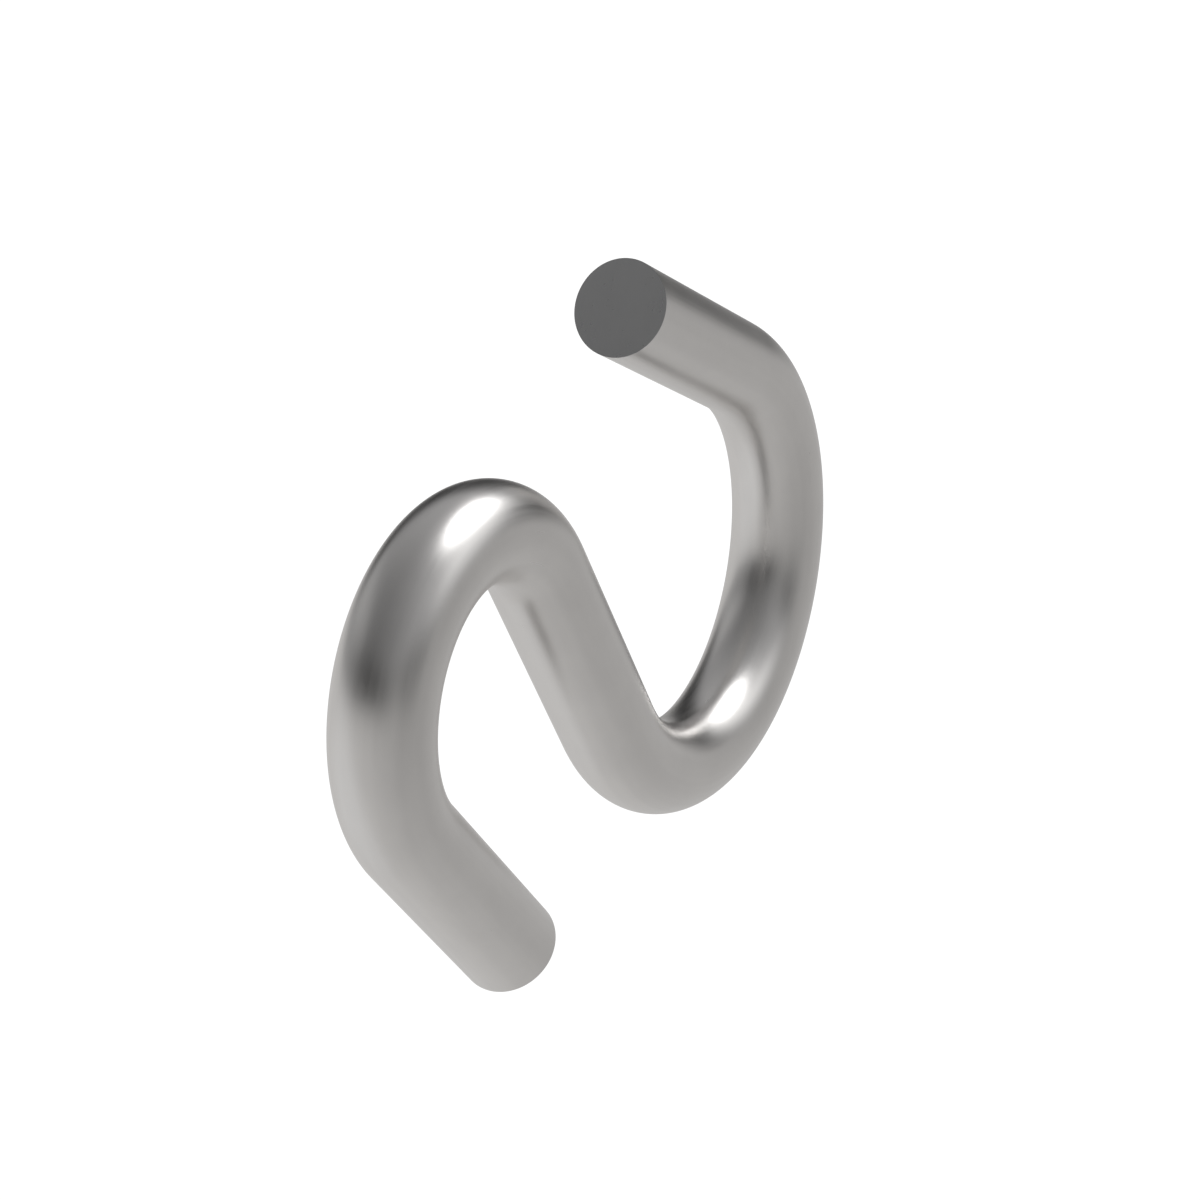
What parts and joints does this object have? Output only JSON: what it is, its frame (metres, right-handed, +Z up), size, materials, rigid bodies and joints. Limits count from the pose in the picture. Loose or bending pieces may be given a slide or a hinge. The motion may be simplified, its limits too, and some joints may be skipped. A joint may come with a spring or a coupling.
{
  "type": "s hook",
  "caption": "Asymmetric S hook bent from round steel wire: a small upper bend that hangs on a bar, a slanted shank, and a larger lower bend for the load, both with straight flared tails.",
  "frame": {"origin": "inside crown of the small upper bend, in the middle of the wire's width, where the hook bears on its bar", "axes": "+Z up along the line through both bend centres, with the small bend on top and the load pulling along -Z; the wire lies in the XZ plane, and +X is the side that the lower bend opens to"},
  "size_m": [0.0333, 0.005, 0.0457],
  "materials": {
    "steel": "satin drawn stainless wire with a soft even sheen, and flat cut ends with broken edges"
  },
  "bodies": {
    "root": {"hook": "steel"}
  },
  "joints": []
}
